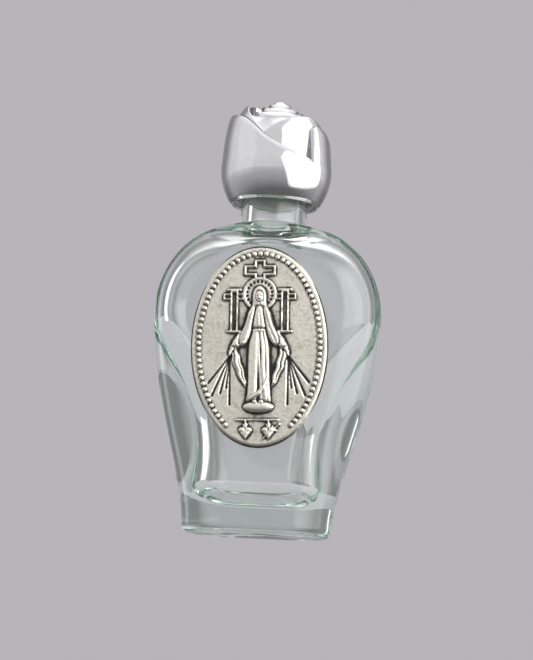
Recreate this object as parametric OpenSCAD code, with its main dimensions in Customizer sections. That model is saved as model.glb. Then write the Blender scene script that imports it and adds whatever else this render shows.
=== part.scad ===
// Holy water bottle: a clear glass flask with a rose screw cap and an oval medal glued to its front.
// The base stands on z = 0, the bottle's axis is Z and the medal faces -Y. All sizes are millimetres.

/* [Flask] */
// Width of the flask at its widest
body_w = 39.2; // [36:0.1:44]
// Depth of the flask between its flat panels
body_d = 17.6; // [16:0.1:22]
// Width of the flask at its foot
foot_w = 25.4; // [23:0.1:30]
// Height of the widest point above the base
widest_z = 38.3; // [35:0.1:41]
// Height of the shoulder where the neck rises
shoulder_z = 53.2; // [50:0.1:58]
// Height over which the flank leaves the foot upright
foot_rise = 9; // [5:0.1:14]
// Height below the widest point where the flank turns upright
flank_turn = 14.3; // [8:0.1:20]
// Height above the widest point where the shoulder turns inwards
shoulder_turn = 7.2; // [4:0.1:9]
// Reach of the shoulder's level top beyond the root of the neck
shoulder_reach = 7.7; // [5:0.1:10]
// Radius of the upright edges beside the panels
edge_r = 7.5; // [5:0.1:8.2]
// Radius of the panels' upper edge
crown_r = 2.6; // [1.5:0.1:3]
// Radius of the heel round the base
heel_r = 1.2; // [0.6:0.1:2]

/* [Cavity] */
// Thickness of the glass under the cavity
base_t = 4.4; // [3.5:0.1:6]
// Thickness of the glass behind each panel
panel_t = 2.3; // [1.6:0.1:3]
// Thickness of the glass at the shoulders and under the neck
shoulder_t = 2.2; // [1.6:0.1:3]
// Thickness of the glass beside the cavity's foot
foot_side_t = 2.9; // [2:0.1:4]
// Height over which the cavity stays slim above its foot
waist_rise = 16; // [10:0.1:20]
// Height below the widest point where the cavity is full again
bulge_turn = 8.5; // [5:0.1:12]
// Radius of the cavity's floor
floor_r = 4.6; // [2:0.1:5]
// Radius of the cavity's upright edges
cavity_edge_r = 5; // [3:0.1:6]

/* [Neck] */
// Outer diameter of the neck
neck_d = 11.5; // [10.5:0.1:12]
// Bore of the neck
bore_d = 8; // [6:0.1:8.6]
// Height of the neck above the shoulder
neck_h = 12.5; // [11:0.1:14]
// Fillet between shoulder and neck
root_r = 0.7; // [0.3:0.1:1.2]
// Rounding of the lip
lip_r = 0.6; // [0.3:0.1:0.9]

/* [Screw cap] */
// Height of bare neck below the cap
neck_show = 4.1; // [3:0.1:5]
// Height of the rose cap
cap_h = 18.9; // [17.5:0.1:21]
// Largest diameter of the rose cap
cap_d = 19.4; // [18.6:0.1:21]
// Diameter of the cap's lower rim
cap_rim_d = 15.4; // [15:0.1:16.5]
// Height of the largest diameter above the rim
belly_h = 6.2; // [5:0.1:7]
// Wall of the shell at its rim
rim_wall = 0.5; // [0.4:0.05:0.7]
// Depth of the threaded insert's rim inside the shell
insert_step = 0.5; // [0.2:0.1:1]
// Skirt wall of the threaded insert
insert_wall = 0.65; // [0.5:0.05:0.8]
// Top wall of the threaded insert
insert_top_t = 1.2; // [0.8:0.1:1.6]
// Thickness of the sealing disc
liner_t = 1; // [0.6:0.1:1.5]
// Clearance of pieces pushed into each other
fit_gap = 0.05; // [0.03:0.01:0.1]
// Clearance round the sealing disc
liner_gap = 0.2; // [0.1:0.05:0.4]
// Diameter of the hollow above the insert
core_d = 9; // [6:0.1:11]
// Height of the hollow above the insert
core_h = 1.4; // [0.8:0.1:1.8]

/* [Rose] */
// Thickness of a petal's lip
petal_t = 0.45; // [0.3:0.05:0.6]
// Height that a petal's leading edge stands off its neighbour
petal_lift = 0.4; // [0.2:0.05:0.5]
// Diameter of the heart of the bloom
heart_d = 9.4; // [8.6:0.1:10]
// Diameter of the bud inside the heart
bud_d = 6.6; // [6:0.1:7]
// Diameter of the tip in the middle
tip_d = 3.6; // [3:0.1:4]

/* [Medal] */
// Width of the medal
medal_w = 23.3; // [20:0.1:26]
// Height of the medal
medal_h = 34.4; // [32:0.1:38]
// Thickness of the medal's plate
plate_t = 1; // [0.6:0.1:1.4]
// Height of the medal's centre above the base
medal_z = 31; // [28:0.1:33]
// Turn of the medal on the panel
medal_tilt = 2.5; // [-5:0.1:5]
// Step of the medal's softened edge
medal_edge = 0.3; // [0.1:0.05:0.5]
// Height of the flat ornaments
ornament_h = 0.35; // [0.2:0.05:0.5]
// Depth of the rays cut below the hands
ray_depth = 0.2; // [0.1:0.05:0.4]
// Height of the standing figure's relief
figure_h = 1.1; // [0.7:0.05:1.4]
// Thickness of the glue bed
glue_t = 0.3; // [0.2:0.05:0.5]
// Inset of the glue bed from the medal's edge
glue_inset = 0.9; // [0.5:0.1:2]

/* [Hidden] */
$fn = 72;

// Steps of the lofts: along the flank, along the shoulder and round each edge
flank_steps = 10;
shoulder_steps = 9;
round_steps = 4;
edge_steps = 6;
// Largest share of a section that its corner radius takes
corner_share = 0.96;
// Step along a curve for reading its lean, and the least lean that widens a corner
lean_step = 0.01;
least_lean = 0.1;
// Overlap that lets a cut pass through a face
through = 0.5;

lip_z = shoulder_z + neck_h;
rim_z = shoulder_z + neck_show;
liner_z = lip_z;
insert_ceiling_z = liner_z + liner_t;
insert_top_z = insert_ceiling_z + insert_top_t;
socket_r = cap_rim_d / 2 - rim_wall;
insert_r = socket_r - fit_gap;
insert_bore_r = insert_r - insert_wall;
panel_y = body_d / 2;
glue_y = panel_y + glue_t;

// Four-point curves as [half-width, height]
root_half = neck_d / 2 + root_r;
flank_curve = [
    [foot_w / 2, heel_r],
    [foot_w / 2, foot_rise],
    [body_w / 2, widest_z - flank_turn],
    [body_w / 2, widest_z]
];
shoulder_curve = [
    [body_w / 2, widest_z],
    [body_w / 2, widest_z + shoulder_turn],
    [root_half + shoulder_reach, shoulder_z],
    [root_half, shoulder_z]
];
cavity_top_z = shoulder_z - shoulder_t;
cavity_foot_half = foot_w / 2 - foot_side_t;
cavity_half = body_w / 2 - shoulder_t;
cavity_half_d = panel_y - panel_t;
cavity_root = bore_d / 2 + root_r;
cavity_flank = [
    [cavity_foot_half, base_t + floor_r],
    [cavity_foot_half, base_t + floor_r + waist_rise],
    [cavity_half, widest_z - bulge_turn],
    [cavity_half, widest_z]
];
cavity_shoulder = [
    [cavity_half, widest_z],
    [cavity_half, widest_z + shoulder_turn],
    [cavity_root + shoulder_reach, cavity_top_z],
    [cavity_root, cavity_top_z]
];

function curve_point(p, u) =
    pow(1 - u, 3) * p[0] + 3 * u * pow(1 - u, 2) * p[1] + 3 * u * u * (1 - u) * p[2] + pow(u, 3) * p[3];

// Rises smoothly from 0 to 1 between two values
function ease(low, high, x) = let (t = min(1, max(0, (x - low) / (high - low)))) t * t * (3 - 2 * t);

// Closed loop of a rounded rectangle, given by its half-sizes and its corner radii across and in depth
function rounded_loop(half_w, half_d, r_w, r_d, z) = let (
    across = min(r_w, corner_share * half_w),
    deep = min(r_d, corner_share * half_d)
) [
    for (quarter = [0:3])
        for (step = [0:edge_steps])
            let (
                angle = 90 * (quarter + step / edge_steps),
                side_x = (quarter == 0 || quarter == 3) ? 1 : -1,
                side_y = quarter < 2 ? 1 : -1
            ) [
                side_x * (half_w - across) + across * cos(angle),
                side_y * (half_d - deep) + deep * sin(angle),
                z
            ]
];

// Half-depth that rounds off towards the top of the flask or of its cavity
function crowned_depth(half_d, crown, top_z, z) =
    let (rise = max(0, z - (top_z - crown))) half_d - crown + sqrt(max(0, crown * crown - rise * rise));

// Share of sideways lean in the outline at a place on its curve: 1 where it is upright, 0 where it is level
function upright_share(p, u) = let (step = curve_point(p, u + lean_step) - curve_point(p, u - lean_step))
    abs(step[1]) / norm(step);

// One section: its corners widen as the outline turns level, so that the edge keeps its radius along the shoulder
function flask_loop(p, u, half_d, crown, top_z, r) = let (
    point = curve_point(p, u),
    depth = crowned_depth(half_d, crown, top_z, point[1]),
    lean = max(least_lean, upright_share(p, u))
) rounded_loop(point[0], depth, r / lean, r + (depth - r) * pow(1 - lean, 2), point[1]);

// Loops of a rounded floor that ends in the loop at the first point of a curve
function floor_loops(point, half_d, round_r, r) = [
    for (step = [0:round_steps - 1])
        let (
            angle = 90 * step / round_steps,
            inset = round_r * (1 - sin(angle)),
            corner = r - inset / 2
        ) rounded_loop(point[0] - inset, half_d - inset, corner, corner, point[1] - round_r * cos(angle))
];

function flask_loops(flank, shoulder, half_d, crown, round_r, r) = let (top_z = shoulder[3][1]) concat(
    floor_loops(flank[0], half_d, round_r, r),
    [for (step = [0:flank_steps - 1])
        let (point = curve_point(flank, step / flank_steps)) rounded_loop(point[0], half_d, r, r, point[1])],
    [for (step = [0:shoulder_steps]) flask_loop(shoulder, step / shoulder_steps, half_d, crown, top_z, r)]
);

// Closed solid through loops of equal length, with flat ends
module loft(loops) {
    n = len(loops[0]);
    last = len(loops) - 1;
    sides = [
        for (row = [0:last - 1])
            for (i = [0:n - 1])
                let (a = row * n + i, b = row * n + (i + 1) % n)
                each [[a, a + n, b + n], [a, b + n, b]]
    ];
    bottom = [for (i = [0:n - 1]) i];
    top = [for (i = [n - 1:-1:0]) last * n + i];
    polyhedron(points = [for (loop = loops) each loop], faces = concat([bottom], sides, [top]));
}

// Points of an arc, for turned profiles
function arc(centre, r, from, to) = [
    for (step = [0:round_steps])
        let (angle = from + (to - from) * step / round_steps)
        centre + r * [cos(angle), sin(angle)]
];

module flask_outside() {
    loft(flask_loops(flank_curve, shoulder_curve, panel_y, crown_r, heel_r, edge_r));
}

module flask_cavity() {
    crown = cavity_half_d - cavity_root;
    loft(flask_loops(cavity_flank, cavity_shoulder, cavity_half_d, crown, floor_r, cavity_edge_r));
}

module neck() {
    foot_z = cavity_top_z;
    rotate_extrude()
        polygon(concat(
            [[0, foot_z], [neck_d / 2, foot_z]],
            arc([neck_d / 2 - lip_r, lip_z - lip_r], lip_r, 0, 90),
            [[0, lip_z]]
        ));
}

module glass_bottle() {
    color([0.82, 0.91, 0.87, 0.45])
        difference() {
            union() {
                flask_outside();
                neck();
            }
            union() {
                flask_cavity();
                translate([0, 0, cavity_top_z - through])
                    cylinder(d = bore_d, h = lip_z - cavity_top_z + 2 * through);
            }
        }
}

module cap_liner() {
    color([0.93, 0.93, 0.9])
        translate([0, 0, liner_z])
            cylinder(r = insert_bore_r - liner_gap, h = liner_t);
}

module cap_insert() {
    lead = insert_wall / 2;
    foot_z = rim_z + insert_step;
    color([0.95, 0.95, 0.93])
        rotate_extrude()
            polygon([
                [0, insert_ceiling_z],
                [insert_bore_r, insert_ceiling_z],
                [insert_bore_r, foot_z + lead],
                [insert_bore_r + lead, foot_z],
                [insert_r, foot_z],
                [insert_r, insert_top_z - lead],
                [insert_r - lead, insert_top_z],
                [0, insert_top_z]
            ]);
}

// Rose cap. Heights here are counted from the cap's rim, angles from the front.

// Layers from the outside in. For each: the angles where its petals start, the heights of their crests,
// the place of each crest along its petal with the share that the leading corner drops, and the lowest edge.
outer_starts = [-108, 48, 156];
outer_crests = [15.2, 13.3, 15];
outer_edges = [[0.25, 0.12], [0.08, 0.25], [0.25, 0.12]];
outer_low = belly_h + 0.7;
inner_starts = [-150, -12, 96];
inner_crests = [17.2, 14.4, 15.8];
inner_edges = [[0.4, 0.5], [0.5, 0.94], [0.4, 0.5]];
inner_low = 11;
heart_starts = [-72, 54, 168];
heart_crests = [16.5, 16.3, 16.8];
heart_edges = [[0.2, 0.5], [0.2, 0.5], [0.2, 0.5]];
heart_low = 15.2;
bud_starts = [-84, 96];
bud_crests = [17.5, 17.7];
bud_edges = [[0.15, 0.5], [0.2, 0.5]];
bud_low = 16.4;
tip_starts = [24, 204];
tip_crests = [cap_h, cap_h - 0.3];
tip_edges = [[0.3, 0.4], [0.3, 0.4]];
tip_low = 17.9;
all_starts = concat(outer_starts, inner_starts, heart_starts, bud_starts, tip_starts);
// Step between the columns round the bloom, and the angle in which one petal gives way to the next
column_step = 6;
start_gap = 0.8;
// Levels up the outside of the outer and of the inner petals
outer_levels = [0, 0.08, 0.18, 0.3, 0.42, 0.54, 0.66, 0.78, 0.88, 0.95, 1];
inner_levels = [0, 0.25, 0.5, 0.75, 0.9, 1];
// Roll of an outer petal's lip towards the middle, and the height that it takes
lip_roll = 0.2;
lip_roll_h = 1;
// Height over which the outer petals come to stand off, and the stand-off of the inner ones
stand_h = 3;
inner_lift = 0.1;
// Ellipse that the inner petals lean along
inner_r_max = 8.2;
inner_mid_h = 11.5;
inner_reach = 8.4;
// Drops behind the lips of the outer and inner petals and of the small ones in the middle
valley_drop = 0.5;
inner_drop = [0.3, 1.2];
small_drop = 0.35;
small_step = 0.25;
// Slope of the domed floor between the inner petals and the heart
dome_slope = 1.35;
// Share of a lip's thickness from its outside to the foot of the drop behind it
lip_back = 1.2;
// Lean of the small petals and the thickness of their lips
small_lean = 0.25;
small_t = 0.4;
// Heights of the feet of the bud and the tip, and the flat spot in the middle
bud_foot = 16;
tip_foot = 17.3;
middle_r = 0.3;
middle_h = 18.2;

// Curve heights that make the barrel pass through the rim and close in above the belly
rim_curve_h = belly_h / sqrt(1 - pow(cap_rim_d / cap_d, 2));
upper_curve_h = 20.8;
function barrel_r(h) =
    let (reach = h < belly_h ? rim_curve_h : upper_curve_h) cap_d / 2 * sqrt(1 - pow((h - belly_h) / reach, 2));

// Petal that an angle meets, and the place along it
function turn_from(start, angle) = (angle - start + 720) % 360;
function span_of(starts, petal) =
    (petal + 1 < len(starts) ? starts[petal + 1] : starts[0] + 360) - starts[petal];
function petal_at(starts, angle) = [
    for (petal = [0:len(starts) - 1])
        if (turn_from(starts[petal], angle) < span_of(starts, petal)) petal
][0];
function place_at(starts, angle) =
    let (petal = petal_at(starts, angle)) turn_from(starts[petal], angle) / span_of(starts, petal);

// Shape of a petal's edge, from 1 at its crest to 0 at its tail
function petal_edge(place, edge) =
    place < edge[0]
        ? 1 - edge[1] * pow(1 - place / edge[0], 2)
        : (1 + cos(180 * (place - edge[0]) / (1 - edge[0]))) / 2;

function edge_h(starts, crests, edges, low, angle) = let (petal = petal_at(starts, angle))
    low + (crests[petal] - low) * petal_edge(place_at(starts, angle), edges[petal]);

function outer_r(h, angle) =
    barrel_r(h)
    - petal_lift * ease(belly_h, outer_low + stand_h, h)
    + petal_lift * (1 - place_at(outer_starts, angle)) * ease(outer_low - small_step, outer_low + stand_h, h);

function inner_r(h, angle) =
    inner_r_max * sqrt(1 - pow(max(0, h - inner_mid_h) / inner_reach, 2))
    + inner_lift * (1 - place_at(inner_starts, angle));

function dome_h(r) = heart_low + (heart_d / 2 - r) * dome_slope;

// Wall of one of the small layers in the middle: foot, edge, lip and the drop behind it
function small_wall(r, foot_h, top_h) = [
    [r, min(foot_h, top_h - small_step)],
    [r - small_lean, top_h],
    [r - small_lean - small_t, top_h],
    [r - small_lean - lip_back * small_t, top_h - small_drop]
];

// One column of the bloom: up an outer petal, over its lip, up an inner one, down to the dome and up to the tip
function bloom_column(angle) = let (
    outer_h = edge_h(outer_starts, outer_crests, outer_edges, outer_low, angle),
    inner_h = edge_h(inner_starts, inner_crests, inner_edges, inner_low, angle),
    heart_h = edge_h(heart_starts, heart_crests, heart_edges, heart_low, angle),
    bud_h = edge_h(bud_starts, bud_crests, bud_edges, bud_low, angle),
    tip_h = edge_h(tip_starts, tip_crests, tip_edges, tip_low, angle),
    valley_h = min(outer_h, inner_h) - valley_drop,
    lip_r = outer_r(outer_h, angle) - lip_roll - petal_t,
    floor_r = inner_r(inner_h, angle) - lip_back * petal_t,
    floor_h = min(inner_h - inner_drop[0], max(dome_h(floor_r), inner_h - inner_drop[1]))
) concat(
    [for (level = outer_levels)
        let (h = level * outer_h)
        [outer_r(h, angle) - lip_roll * ease(outer_h - lip_roll_h, outer_h, h), h]],
    [[lip_r, outer_h]],
    [for (level = inner_levels) let (h = valley_h + level * (inner_h - valley_h)) [inner_r(h, angle), h]],
    [[inner_r(inner_h, angle) - petal_t, inner_h], [floor_r, floor_h]],
    small_wall(heart_d / 2, dome_h(heart_d / 2), heart_h),
    small_wall(bud_d / 2, bud_foot, bud_h),
    small_wall(tip_d / 2, tip_foot, tip_h),
    [[middle_r, middle_h]]
);

bloom_angles = [
    for (angle = [-180:column_step:180 - column_step])
        each (len([for (start = all_starts) if (turn_from(start, angle) == 0) start]) > 0
            ? [angle - start_gap, angle]
            : [angle])
];

module rose() {
    columns = [for (angle = bloom_angles) bloom_column(angle)];
    loft([
        for (row = [0:len(columns[0]) - 1]) [
            for (i = [0:len(columns) - 1])
                let (turn = bloom_angles[i] - 90)
                [columns[i][row][0] * cos(turn), columns[i][row][0] * sin(turn), columns[i][row][1]]
        ]
    ]);
}

module cap_shell() {
    color([0.84, 0.85, 0.87])
        translate([0, 0, rim_z])
            difference() {
                rose();
                translate([0, 0, -through])
                    cylinder(r = socket_r, h = insert_top_z - rim_z + through);
                cylinder(d = core_d, h = insert_top_z - rim_z + core_h);
            }
}

// Medal. Its own X is to the right, Y upwards and Z out of its face, with the plate's back at Z = 0.

module oval(width, height, thickness) {
    linear_extrude(thickness)
        scale([width / height, 1])
            circle(d = height);
}

module on_panel(depth) {
    translate([0, -depth, medal_z])
        rotate([90, 0, 0])
            rotate([0, 0, medal_tilt])
                children();
}

module medal_plate() {
    difference() {
        union() {
            oval(medal_w, medal_h, plate_t - medal_edge);
            oval(medal_w - 2 * medal_edge, medal_h - 2 * medal_edge, plate_t);
        }
        translate([0, 0, plate_t - ray_depth])
            linear_extrude(ray_depth + through)
                ray_shapes();
    }
}

// Stations of the figure's draped forms from hem to top: [height, half-width, share of the relief]
robe = [[-9.4, 1.9, 0.8], [-8.8, 2.1, 0.9], [-5, 1.75, 0.95], [-1.5, 1.5, 0.95], [1.2, 1.4, 0.95],
    [3.2, 1.55, 1], [5, 2, 0.9], [6, 1.3, 0.8], [7.2, 0.6, 0.7]];
mantle = [[-7.4, 2.4, 0.3], [-6.6, 3, 0.5], [-3, 3.4, 0.55], [0, 3.4, 0.6], [2.5, 2.9, 0.65],
    [4.6, 2.6, 0.75], [5.8, 2.1, 0.7], [6.8, 1.2, 0.6]];
veil = [[4.8, 2, 0.75], [6.2, 1.75, 0.85], [7.6, 1.6, 0.85], [9.2, 1.6, 0.8], [10.2, 1.25, 0.7], [10.8, 0.6, 0.5]];
// Head, hands and the globe underfoot: [half-width, half-height, share of the relief]
head_y = 8.7;
head_size = [0.95, 1.25, 1];
hand = [4.9, -0.4];
hand_size = [0.55, 0.7, 0.7];
globe_y = -10.2;
globe_size = [2.7, 0.95, 0.9];
shoulder_joint = [1.7, 4.9];
elbow = [3.3, 2.2];
arm_r = 0.6;
// Rays that fan out below each hand
ray_count = 5;
ray_fan = [-122, -86];
ray_length = [8.6, 6.6];
ray_from = 1.4;
ray_w = 0.4;
// Cross, ring of light, columns, hearts and beads
cross_y = 13.2;
cross_size = [5.4, 4.1];
cross_bar = 1.6;
cross_line = 0.4;
light_r = 2.9;
light_line = 0.55;
column_x = 4.3;
column_y = [2.2, 9.6];
column_w = 0.75;
column_end = [1.5, 0.5];
heart_x = 2;
heart_y = -14.3;
lobe_r = 0.58;
lobe_x = 0.5;
heart_half_w = 1;
heart_flank_y = -0.25;
heart_point_y = -1.5;
flame_w = 0.6;
flame_h = 1.5;
bead_r = 0.36;
bead_inset = 1.75;
bead_count = 52;
bead_gap = 5;
// Depth that the relief is sunk into the plate
relief_seat = 0.3;
draped_sides = 16;

module draped(stations) {
    rotate([-90, 0, 0])
        loft([
            for (s = stations) [
                for (side = [0:draped_sides - 1])
                    let (angle = 360 * side / draped_sides)
                    [s[1] * cos(angle), s[2] * figure_h * sin(angle), s[0]]
            ]
        ]);
}

module boss(place, size) {
    translate([place[0], place[1], 0])
        scale([size[0], size[1], size[2] * figure_h])
            sphere(r = 1, $fn = draped_sides);
}

module limb(from, to, r) {
    hull() {
        boss(from, [r, r, r]);
        boss(to, [r, r, r]);
    }
}

module figure() {
    draped(robe);
    draped(mantle);
    draped(veil);
    boss([0, head_y], head_size);
    boss([0, globe_y], globe_size);
    for (side = [-1, 1]) {
        limb([side * shoulder_joint[0], shoulder_joint[1]], [side * elbow[0], elbow[1]], arm_r);
        limb([side * elbow[0], elbow[1]], [side * hand[0], hand[1]], arm_r);
        boss([side * hand[0], hand[1]], hand_size);
    }
}

module cross_shape(inset) {
    square([cross_size[0] - 2 * inset, cross_bar - 2 * inset], center = true);
    square([cross_bar - 2 * inset, cross_size[1] - 2 * inset], center = true);
}

module column_shape() {
    middle = (column_y[0] + column_y[1]) / 2;
    translate([0, middle])
        square([column_w, column_y[1] - column_y[0]], center = true);
    for (y = column_y)
        translate([0, y])
            square(column_end, center = true);
}

module ray_shape(length) {
    polygon([[0, -ray_w / 4], [length, -ray_w / 2], [length, ray_w / 2], [0, ray_w / 4]]);
}

module ray_shapes() {
    for (side = [0, 1])
        for (ray = [0:ray_count - 1])
            let (turn = ray_fan[0] + (ray_fan[1] - ray_fan[0]) * ray / (ray_count - 1))
            mirror([side, 0])
                translate([-hand[0], hand[1]])
                    rotate(turn)
                        translate([ray_from, 0])
                            ray_shape(ray_length[ray % 2] - ray_from);
}

module heart_shape() {
    for (side = [-1, 1])
        translate([side * lobe_x, 0])
            circle(r = lobe_r);
    polygon([[-heart_half_w, heart_flank_y], [0, heart_point_y], [heart_half_w, heart_flank_y], [0, lobe_r / 2]]);
    polygon([[-flame_w / 2, 0], [flame_w / 2, 0], [0, flame_h]]);
}

module ornament_shapes() {
    translate([0, cross_y])
        difference() {
            cross_shape(0);
            cross_shape(cross_line);
        }
    translate([0, head_y])
        difference() {
            circle(r = light_r);
            circle(r = light_r - light_line);
        }
    for (side = [-1, 1]) {
        translate([side * column_x, 0])
            column_shape();
        translate([side * heart_x, heart_y])
            heart_shape();
    }
    for (bead = [bead_gap:bead_count - bead_gap])
        let (angle = 360 * bead / bead_count - 90)
        translate([(medal_w / 2 - bead_inset) * cos(angle), (medal_h / 2 - bead_inset) * sin(angle)])
            circle(r = bead_r);
}

module medal() {
    color([0.66, 0.65, 0.61])
        on_panel(glue_y) {
            medal_plate();
            translate([0, 0, plate_t - relief_seat])
                linear_extrude(relief_seat + ornament_h)
                    ornament_shapes();
            translate([0, 0, plate_t])
                resize([0, 0, relief_seat + figure_h])
                    intersection() {
                        figure();
                        translate([0, 0, -relief_seat])
                            oval(medal_w, medal_h, relief_seat + 2 * figure_h);
                    }
        }
}

module medal_adhesive() {
    color([0.9, 0.9, 0.86, 0.6])
        on_panel(panel_y)
            oval(medal_w - 2 * glue_inset, medal_h - 2 * glue_inset, glue_t);
}

glass_bottle();
medal();
medal_adhesive();
cap_liner();
cap_insert();
cap_shell();
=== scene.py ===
"""Looks of a holy water bottle: a clear glass flask, a chromed rose cap and an antique silver medal."""

import math
from contextlib import contextmanager

import bpy
import numpy as np
from bpy.props import FloatProperty, FloatVectorProperty, IntProperty, PointerProperty
from mathutils import Matrix, Vector


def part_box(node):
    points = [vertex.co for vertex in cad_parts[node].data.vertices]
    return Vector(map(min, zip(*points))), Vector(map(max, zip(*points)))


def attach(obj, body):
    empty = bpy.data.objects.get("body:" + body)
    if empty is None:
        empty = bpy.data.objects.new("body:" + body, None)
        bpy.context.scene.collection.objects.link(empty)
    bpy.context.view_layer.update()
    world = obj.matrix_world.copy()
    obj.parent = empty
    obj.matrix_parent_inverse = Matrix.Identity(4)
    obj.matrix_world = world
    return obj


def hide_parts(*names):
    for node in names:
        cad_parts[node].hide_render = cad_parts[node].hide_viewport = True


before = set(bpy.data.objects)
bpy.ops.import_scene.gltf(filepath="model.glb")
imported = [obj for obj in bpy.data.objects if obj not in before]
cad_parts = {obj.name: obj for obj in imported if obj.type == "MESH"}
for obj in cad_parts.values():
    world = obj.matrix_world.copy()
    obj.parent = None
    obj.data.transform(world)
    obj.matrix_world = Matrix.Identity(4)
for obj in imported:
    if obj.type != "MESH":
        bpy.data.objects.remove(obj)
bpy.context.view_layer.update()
GLASS_LOW, GLASS_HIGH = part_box("glass_bottle")
SHELL_LOW, SHELL_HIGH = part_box("cap_shell")
INSERT_LOW, INSERT_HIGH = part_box("cap_insert")
LINER_LOW, LINER_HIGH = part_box("cap_liner")
GLUE_LOW, GLUE_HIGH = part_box("medal_adhesive")
MM = 0.001
PHOTO_SIZE = (533, 660)

bl_info = {
    "name": "Holy Water Bottle",
    "version": (1, 0, 0),
    "blender": (4, 5, 0),
    "location": "View3D > Sidebar > Bottle",
    "description": "Glass flask with a rose screw cap and a relief medal",
    "category": "Add Mesh",
}


def length(name, description, metres):
    return FloatProperty(name=name, description=description, default=metres, min=0.0, precision=5, unit="LENGTH")


def tone(name, description, colour):
    return FloatVectorProperty(name=name, description=description, default=colour, size=3, min=0.0, max=1.0,
                               subtype="COLOR")


class FlaskSizes(bpy.types.PropertyGroup):
    body_w: length("Width", "Width of the flask at its widest", GLASS_HIGH.x - GLASS_LOW.x)
    body_d: length("Depth", "Depth between the flat panels", GLASS_HIGH.y - GLASS_LOW.y)
    lip_z: length("Lip height", "Height of the lip above the base", GLASS_HIGH.z)
    foot_w: length("Foot width", "Width of the flask at its foot", 0.0254)
    widest_z: length("Widest height", "Height of the widest point", 0.0383)
    shoulder_z: length("Shoulder height", "Height where the neck rises", 0.0532)
    edge_r: length("Edge radius", "Radius of the upright edges", 0.0075)
    crown_r: length("Crown radius", "Radius of the panels' upper edge", 0.0026)
    heel_r: length("Heel radius", "Radius round the base", 0.0012)
    push_up: length("Push-up", "Hollow in the middle of the base", 0.0004)
    base_t: length("Base thickness", "Glass under the cavity", 0.0044)
    panel_t: length("Panel thickness", "Glass behind each panel", 0.0023)
    shoulder_t: length("Shoulder thickness", "Glass at the shoulders", 0.0022)
    foot_side_t: length("Foot side thickness", "Glass beside the cavity's foot", 0.0029)
    cavity_edge_r: length("Cavity edge radius", "Radius of the cavity's upright edges", 0.005)
    floor_r: length("Cavity floor radius", "Radius round the cavity's floor", 0.0046)
    neck_d: length("Neck diameter", "Outer diameter of the neck", 0.0115)
    bore_d: length("Bore", "Bore of the neck", 0.008)
    thread_pitch: length("Thread pitch", "Rise of the screw thread in one turn", 0.0021167)
    thread_h: length("Thread height", "Height of the glass thread on the neck", 0.0006)


class CapSizes(bpy.types.PropertyGroup):
    rim_z: length("Rim height", "Height of the cap's lower rim", SHELL_LOW.z)
    cap_h: length("Cap height", "Height of the rose cap", SHELL_HIGH.z - SHELL_LOW.z)
    cap_d: length("Cap diameter", "Largest diameter of the rose cap", 0.0194)
    rim_d: length("Rim diameter", "Diameter of the lower rim", 0.0154)
    belly_h: length("Belly height", "Height of the largest diameter above the rim", 0.0062)
    petal_t: length("Petal thickness", "Thickness of a petal's lip", 0.00042)
    petal_lift: length("Petal lift", "Stand-off of a petal's leading edge", 0.0004)
    lip_roll: length("Lip roll", "Inward roll of a petal's lip", 0.0002)
    step: FloatProperty(name="Column step", description="Angle between the bloom's columns", default=math.radians(1.5),
                        min=math.radians(0.5), max=math.radians(6.0), subtype="ANGLE")


class MedalSizes(bpy.types.PropertyGroup):
    width: length("Width", "Width of the medal", 0.0233)
    height: length("Height", "Height of the medal", 0.0344)
    plate_t: length("Plate thickness", "Thickness of the plate", 0.001)
    centre_z: length("Centre height", "Height of the medal's centre", 0.031)
    tilt: FloatProperty(name="Tilt", description="Turn on the panel", default=math.radians(2.5), subtype="ANGLE")
    figure_h: length("Figure height", "Relief of the standing figure", 0.0011)
    ornament_h: length("Ornament height", "Relief of the flat ornaments", 0.00032)
    columns: IntProperty(name="Columns", description="Faces across the relief", default=236, min=40, max=260)
    rows: IntProperty(name="Rows", description="Faces up the relief", default=348, min=60, max=380)


class Finishes(bpy.types.PropertyGroup):
    glass: tone("Glass", "Tint that deep glass takes on", (0.70, 0.82, 0.76))
    chrome: tone("Chrome", "Colour of the metallised cap", (0.90, 0.90, 0.915))
    silver: tone("Silver", "Polished colour of the medal", (0.96, 0.925, 0.81))
    patina: tone("Patina", "Darkened colour in the medal's hollows", (0.035, 0.033, 0.030))
    plastic: tone("Plastic", "Colour of the threaded insert", (0.86, 0.86, 0.83))
    foam: tone("Foam", "Colour of the sealing disc", (0.82, 0.82, 0.78))
    floor: tone("Floor", "Colour of the studio floor", (0.23, 0.225, 0.235))


class BottleSettings(bpy.types.PropertyGroup):
    flask: PointerProperty(type=FlaskSizes)
    cap: PointerProperty(type=CapSizes)
    medal: PointerProperty(type=MedalSizes)
    finish: PointerProperty(type=Finishes)


def settings():
    return bpy.context.scene.holy_water_bottle


# Shader expressions


class Value:
    """A socket whose arithmetic adds Math nodes to its tree."""

    def __init__(self, paint, socket):
        self.paint = paint
        self.socket = socket

    def math(self, operation, first, second):
        return self.paint.add("ShaderNodeMath", {"operation": operation}, {0: first, 1: second})

    def __add__(self, other):
        return self.math("ADD", self, other)

    __radd__ = __add__

    def __sub__(self, other):
        return self.math("SUBTRACT", self, other)

    def __rsub__(self, other):
        return self.math("SUBTRACT", other, self)

    def __mul__(self, other):
        return self.math("MULTIPLY", self, other)

    __rmul__ = __mul__


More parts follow.
